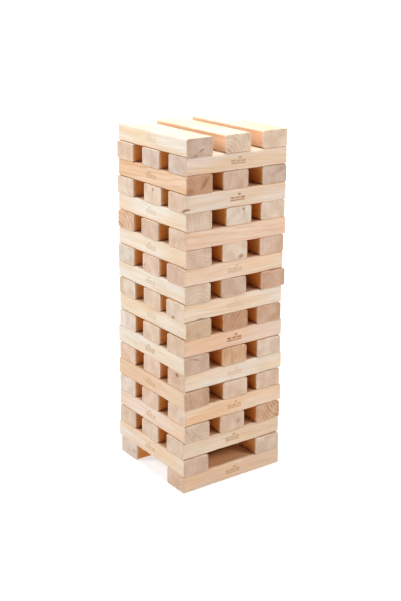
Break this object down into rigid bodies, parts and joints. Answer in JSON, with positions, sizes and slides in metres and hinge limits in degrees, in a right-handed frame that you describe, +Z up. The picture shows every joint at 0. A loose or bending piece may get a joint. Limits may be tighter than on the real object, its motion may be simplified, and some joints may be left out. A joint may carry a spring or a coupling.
{
  "type": "giant tumbling tower",
  "caption": "Tall square tower of loose planed pine blocks laid crosswise in courses with finger gaps between them; each block slides out along its own length.",
  "frame": {"origin": "on the ground under the middle of the tower", "axes": "+Z up through the stack; odd courses run along X, even courses along Y; front is -Y"},
  "size_m": [0.205, 0.203, 0.5919],
  "materials": {
    "pine": "planed, unfinished"
  },
  "bodies": {
    "foundation": {"course_01_front_block": "pine", "course_01_back_block": "pine", "course_02_left_block": "pine", "course_02_right_block": "pine"},
    "course_20_left": {"course_20_left_block": "pine"},
    "course_20_middle": {"course_20_middle_block": "pine"},
    "course_20_right": {"course_20_right_block": "pine"},
    "course_19_front": {"course_19_front_block": "pine"},
    "course_19_middle": {"course_19_middle_block": "pine"},
    "course_19_back": {"course_19_back_block": "pine"},
    "course_18_left": {"course_18_left_block": "pine"},
    "course_18_middle": {"course_18_middle_block": "pine"},
    "course_18_right": {"course_18_right_block": "pine"},
    "course_17_front": {"course_17_front_block": "pine"},
    "course_17_middle": {"course_17_middle_block": "pine"},
    "course_17_back": {"course_17_back_block": "pine"},
    "course_16_left": {"course_16_left_block": "pine"},
    "course_16_middle": {"course_16_middle_block": "pine"},
    "course_16_right": {"course_16_right_block": "pine"},
    "course_15_front": {"course_15_front_block": "pine"},
    "course_15_middle": {"course_15_middle_block": "pine"},
    "course_15_back": {"course_15_back_block": "pine"},
    "course_14_left": {"course_14_left_block": "pine"},
    "course_14_middle": {"course_14_middle_block": "pine"},
    "course_14_right": {"course_14_right_block": "pine"},
    "course_13_front": {"course_13_front_block": "pine"},
    "course_13_middle": {"course_13_middle_block": "pine"},
    "course_13_back": {"course_13_back_block": "pine"},
    "course_12_left": {"course_12_left_block": "pine"},
    "course_12_middle": {"course_12_middle_block": "pine"},
    "course_12_right": {"course_12_right_block": "pine"},
    "course_11_front": {"course_11_front_block": "pine"},
    "course_11_middle": {"course_11_middle_block": "pine"},
    "course_11_back": {"course_11_back_block": "pine"},
    "course_10_left": {"course_10_left_block": "pine"},
    "course_10_middle": {"course_10_middle_block": "pine"},
    "course_10_right": {"course_10_right_block": "pine"},
    "course_09_front": {"course_09_front_block": "pine"},
    "course_09_middle": {"course_09_middle_block": "pine"},
    "course_09_back": {"course_09_back_block": "pine"},
    "course_08_left": {"course_08_left_block": "pine"},
    "course_08_middle": {"course_08_middle_block": "pine"},
    "course_08_right": {"course_08_right_block": "pine"},
    "course_07_front": {"course_07_front_block": "pine"},
    "course_07_middle": {"course_07_middle_block": "pine"},
    "course_07_back": {"course_07_back_block": "pine"},
    "course_06_left": {"course_06_left_block": "pine"},
    "course_06_middle": {"course_06_middle_block": "pine"},
    "course_06_right": {"course_06_right_block": "pine"},
    "course_05_front": {"course_05_front_block": "pine"},
    "course_05_middle": {"course_05_middle_block": "pine"},
    "course_05_back": {"course_05_back_block": "pine"},
    "course_04_left": {"course_04_left_block": "pine"},
    "course_04_middle": {"course_04_middle_block": "pine"},
    "course_04_right": {"course_04_right_block": "pine"},
    "course_03_front": {"course_03_front_block": "pine"},
    "course_03_middle": {"course_03_middle_block": "pine"},
    "course_03_back": {"course_03_back_block": "pine"}
  },
  "joints": [
    {"name": "course_20_left_lift", "type": "slide", "parent": "foundation", "child": "course_20_left", "axis": [0, 0, 1], "range_m": [0, 0.06]},
    {"name": "course_20_middle_lift", "type": "slide", "parent": "foundation", "child": "course_20_middle", "axis": [0, 0, 1], "range_m": [0, 0.06]},
    {"name": "course_20_right_lift", "type": "slide", "parent": "foundation", "child": "course_20_right", "axis": [0, 0, 1], "range_m": [0, 0.06]},
    {"name": "course_19_front_pull", "type": "slide", "parent": "foundation", "child": "course_19_front", "axis": [1, 0, 0], "range_m": [-0.215, 0.215]},
    {"name": "course_19_middle_pull", "type": "slide", "parent": "foundation", "child": "course_19_middle", "axis": [1, 0, 0], "range_m": [-0.215, 0.215]},
    {"name": "course_19_back_pull", "type": "slide", "parent": "foundation", "child": "course_19_back", "axis": [1, 0, 0], "range_m": [-0.215, 0.215]},
    {"name": "course_18_left_pull", "type": "slide", "parent": "foundation", "child": "course_18_left", "axis": [0, 1, 0], "range_m": [-0.215, 0.215]},
    {"name": "course_18_middle_pull", "type": "slide", "parent": "foundation", "child": "course_18_middle", "axis": [0, 1, 0], "range_m": [-0.215, 0.215]},
    {"name": "course_18_right_pull", "type": "slide", "parent": "foundation", "child": "course_18_right", "axis": [0, 1, 0], "range_m": [-0.215, 0.215]},
    {"name": "course_17_front_pull", "type": "slide", "parent": "foundation", "child": "course_17_front", "axis": [1, 0, 0], "range_m": [-0.215, 0.215]},
    {"name": "course_17_middle_pull", "type": "slide", "parent": "foundation", "child": "course_17_middle", "axis": [1, 0, 0], "range_m": [-0.215, 0.215]},
    {"name": "course_17_back_pull", "type": "slide", "parent": "foundation", "child": "course_17_back", "axis": [1, 0, 0], "range_m": [-0.215, 0.215]},
    {"name": "course_16_left_pull", "type": "slide", "parent": "foundation", "child": "course_16_left", "axis": [0, 1, 0], "range_m": [-0.215, 0.215]},
    {"name": "course_16_middle_pull", "type": "slide", "parent": "foundation", "child": "course_16_middle", "axis": [0, 1, 0], "range_m": [-0.215, 0.215]},
    {"name": "course_16_right_pull", "type": "slide", "parent": "foundation", "child": "course_16_right", "axis": [0, 1, 0], "range_m": [-0.215, 0.215]},
    {"name": "course_15_front_pull", "type": "slide", "parent": "foundation", "child": "course_15_front", "axis": [1, 0, 0], "range_m": [-0.215, 0.215]},
    {"name": "course_15_middle_pull", "type": "slide", "parent": "foundation", "child": "course_15_middle", "axis": [1, 0, 0], "range_m": [-0.215, 0.215]},
    {"name": "course_15_back_pull", "type": "slide", "parent": "foundation", "child": "course_15_back", "axis": [1, 0, 0], "range_m": [-0.215, 0.215]},
    {"name": "course_14_left_pull", "type": "slide", "parent": "foundation", "child": "course_14_left", "axis": [0, 1, 0], "range_m": [-0.215, 0.215]},
    {"name": "course_14_middle_pull", "type": "slide", "parent": "foundation", "child": "course_14_middle", "axis": [0, 1, 0], "range_m": [-0.215, 0.215]},
    {"name": "course_14_right_pull", "type": "slide", "parent": "foundation", "child": "course_14_right", "axis": [0, 1, 0], "range_m": [-0.215, 0.215]},
    {"name": "course_13_front_pull", "type": "slide", "parent": "foundation", "child": "course_13_front", "axis": [1, 0, 0], "range_m": [-0.215, 0.215]},
    {"name": "course_13_middle_pull", "type": "slide", "parent": "foundation", "child": "course_13_middle", "axis": [1, 0, 0], "range_m": [-0.215, 0.215]},
    {"name": "course_13_back_pull", "type": "slide", "parent": "foundation", "child": "course_13_back", "axis": [1, 0, 0], "range_m": [-0.215, 0.215]},
    {"name": "course_12_left_pull", "type": "slide", "parent": "foundation", "child": "course_12_left", "axis": [0, 1, 0], "range_m": [-0.215, 0.215]},
    {"name": "course_12_middle_pull", "type": "slide", "parent": "foundation", "child": "course_12_middle", "axis": [0, 1, 0], "range_m": [-0.215, 0.215]},
    {"name": "course_12_right_pull", "type": "slide", "parent": "foundation", "child": "course_12_right", "axis": [0, 1, 0], "range_m": [-0.215, 0.215]},
    {"name": "course_11_front_pull", "type": "slide", "parent": "foundation", "child": "course_11_front", "axis": [1, 0, 0], "range_m": [-0.215, 0.215]},
    {"name": "course_11_middle_pull", "type": "slide", "parent": "foundation", "child": "course_11_middle", "axis": [1, 0, 0], "range_m": [-0.215, 0.215]},
    {"name": "course_11_back_pull", "type": "slide", "parent": "foundation", "child": "course_11_back", "axis": [1, 0, 0], "range_m": [-0.215, 0.215]},
    {"name": "course_10_left_pull", "type": "slide", "parent": "foundation", "child": "course_10_left", "axis": [0, 1, 0], "range_m": [-0.215, 0.215]},
    {"name": "course_10_middle_pull", "type": "slide", "parent": "foundation", "child": "course_10_middle", "axis": [0, 1, 0], "range_m": [-0.215, 0.215]},
    {"name": "course_10_right_pull", "type": "slide", "parent": "foundation", "child": "course_10_right", "axis": [0, 1, 0], "range_m": [-0.215, 0.215]},
    {"name": "course_09_front_pull", "type": "slide", "parent": "foundation", "child": "course_09_front", "axis": [1, 0, 0], "range_m": [-0.215, 0.215]},
    {"name": "course_09_middle_pull", "type": "slide", "parent": "foundation", "child": "course_09_middle", "axis": [1, 0, 0], "range_m": [-0.215, 0.215]},
    {"name": "course_09_back_pull", "type": "slide", "parent": "foundation", "child": "course_09_back", "axis": [1, 0, 0], "range_m": [-0.215, 0.215]},
    {"name": "course_08_left_pull", "type": "slide", "parent": "foundation", "child": "course_08_left", "axis": [0, 1, 0], "range_m": [-0.215, 0.215]},
    {"name": "course_08_middle_pull", "type": "slide", "parent": "foundation", "child": "course_08_middle", "axis": [0, 1, 0], "range_m": [-0.215, 0.215]},
    {"name": "course_08_right_pull", "type": "slide", "parent": "foundation", "child": "course_08_right", "axis": [0, 1, 0], "range_m": [-0.215, 0.215]},
    {"name": "course_07_front_pull", "type": "slide", "parent": "foundation", "child": "course_07_front", "axis": [1, 0, 0], "range_m": [-0.215, 0.215]},
    {"name": "course_07_middle_pull", "type": "slide", "parent": "foundation", "child": "course_07_middle", "axis": [1, 0, 0], "range_m": [-0.215, 0.215]},
    {"name": "course_07_back_pull", "type": "slide", "parent": "foundation", "child": "course_07_back", "axis": [1, 0, 0], "range_m": [-0.215, 0.215]},
    {"name": "course_06_left_pull", "type": "slide", "parent": "foundation", "child": "course_06_left", "axis": [0, 1, 0], "range_m": [-0.215, 0.215]},
    {"name": "course_06_middle_pull", "type": "slide", "parent": "foundation", "child": "course_06_middle", "axis": [0, 1, 0], "range_m": [-0.215, 0.215]},
    {"name": "course_06_right_pull", "type": "slide", "parent": "foundation", "child": "course_06_right", "axis": [0, 1, 0], "range_m": [-0.215, 0.215]},
    {"name": "course_05_front_pull", "type": "slide", "parent": "foundation", "child": "course_05_front", "axis": [1, 0, 0], "range_m": [-0.215, 0.215]},
    {"name": "course_05_middle_pull", "type": "slide", "parent": "foundation", "child": "course_05_middle", "axis": [1, 0, 0], "range_m": [-0.215, 0.215]},
    {"name": "course_05_back_pull", "type": "slide", "parent": "foundation", "child": "course_05_back", "axis": [1, 0, 0], "range_m": [-0.215, 0.215]},
    {"name": "course_04_left_pull", "type": "slide", "parent": "foundation", "child": "course_04_left", "axis": [0, 1, 0], "range_m": [-0.215, 0.215]},
    {"name": "course_04_middle_pull", "type": "slide", "parent": "foundation", "child": "course_04_middle", "axis": [0, 1, 0], "range_m": [-0.215, 0.215]},
    {"name": "course_04_right_pull", "type": "slide", "parent": "foundation", "child": "course_04_right", "axis": [0, 1, 0], "range_m": [-0.215, 0.215]},
    {"name": "course_03_front_pull", "type": "slide", "parent": "foundation", "child": "course_03_front", "axis": [1, 0, 0], "range_m": [-0.215, 0.215]},
    {"name": "course_03_middle_pull", "type": "slide", "parent": "foundation", "child": "course_03_middle", "axis": [1, 0, 0], "range_m": [-0.215, 0.215]},
    {"name": "course_03_back_pull", "type": "slide", "parent": "foundation", "child": "course_03_back", "axis": [1, 0, 0], "range_m": [-0.215, 0.215]}
  ]
}
